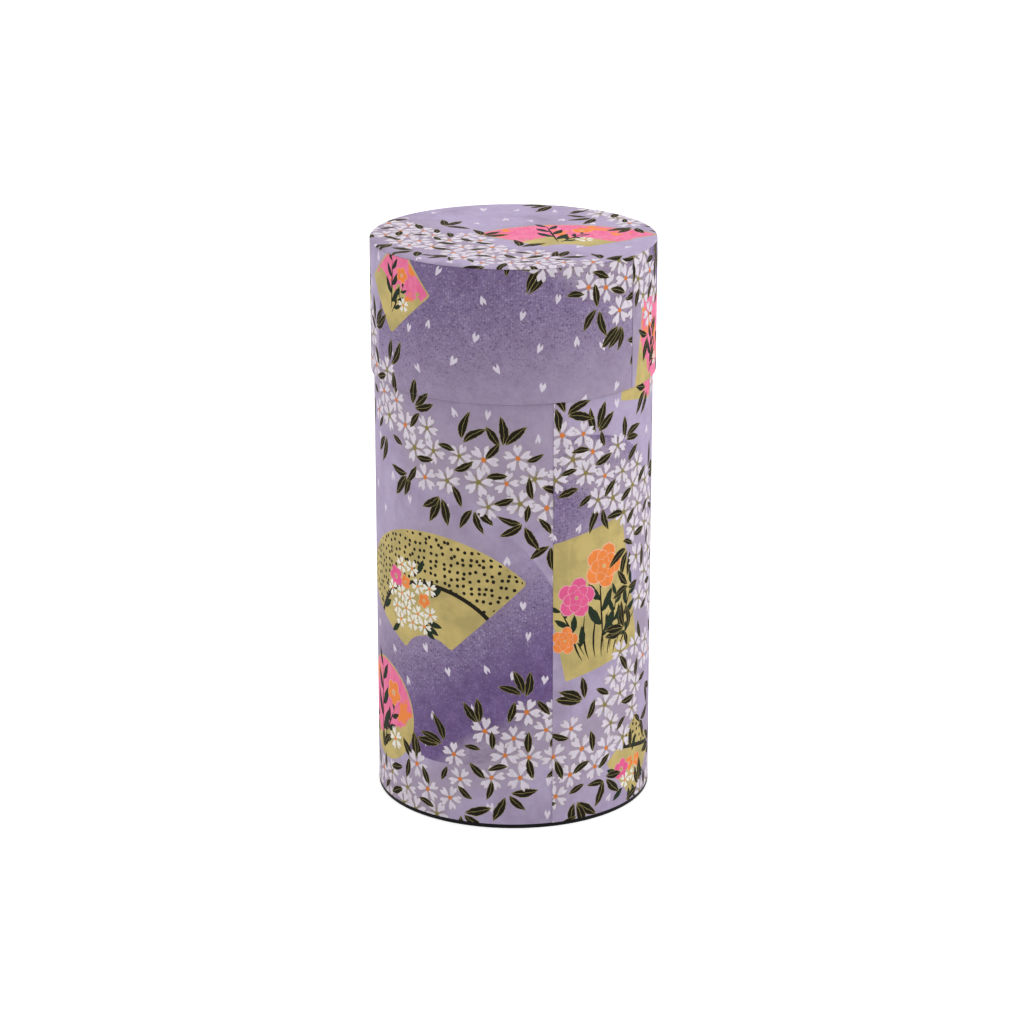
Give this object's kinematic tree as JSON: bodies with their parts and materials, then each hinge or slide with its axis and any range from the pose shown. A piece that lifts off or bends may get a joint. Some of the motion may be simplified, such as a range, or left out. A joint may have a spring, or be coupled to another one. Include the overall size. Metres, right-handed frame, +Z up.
{
  "type": "tea tin",
  "caption": "Round tinplate tea tin wrapped in printed paper, with a slip-over outer lid and an airtight knobbed inner lid.",
  "frame": {"origin": "centre of the base rim's foot, on the surface that the tin stands on", "axes": "+Z up along the tin's axis, -Y towards the picture's camera, +X to its right"},
  "size_m": [0.0791, 0.0791, 0.16],
  "materials": {
    "printed_paper": "matte handmade paper, printed with cherry blossom on lilac",
    "tinplate": "bright rolled tinplate",
    "black_lacquer": "satin black lacquer",
    "knob_plastic": "glossy black",
    "rivet_steel": "plain steel"
  },
  "bodies": {
    "tin_body": {"body_shell": "tinplate", "base_end": "black_lacquer", "body_paper": "printed_paper"},
    "outer_lid": {"lid_shell": "tinplate", "lid_side_paper": "printed_paper", "lid_top_paper": "printed_paper"},
    "inner_lid": {"inner_lid_pan": "tinplate", "inner_lid_knob": "knob_plastic", "knob_rivet": "rivet_steel", "knob_washer": "rivet_steel"}
  },
  "joints": [
    {"name": "outer_lid_lift", "type": "slide", "parent": "tin_body", "child": "outer_lid", "axis": [0, 0, 1], "range_m": [0, 0.1]},
    {"name": "inner_lid_lift", "type": "slide", "parent": "tin_body", "child": "inner_lid", "axis": [0, 0, 1], "range_m": [0, 0.036]}
  ],
  "couplings": [
    {"joint": "inner_lid_lift", "follows": "outer_lid_lift", "ratio": 0.36}
  ]
}
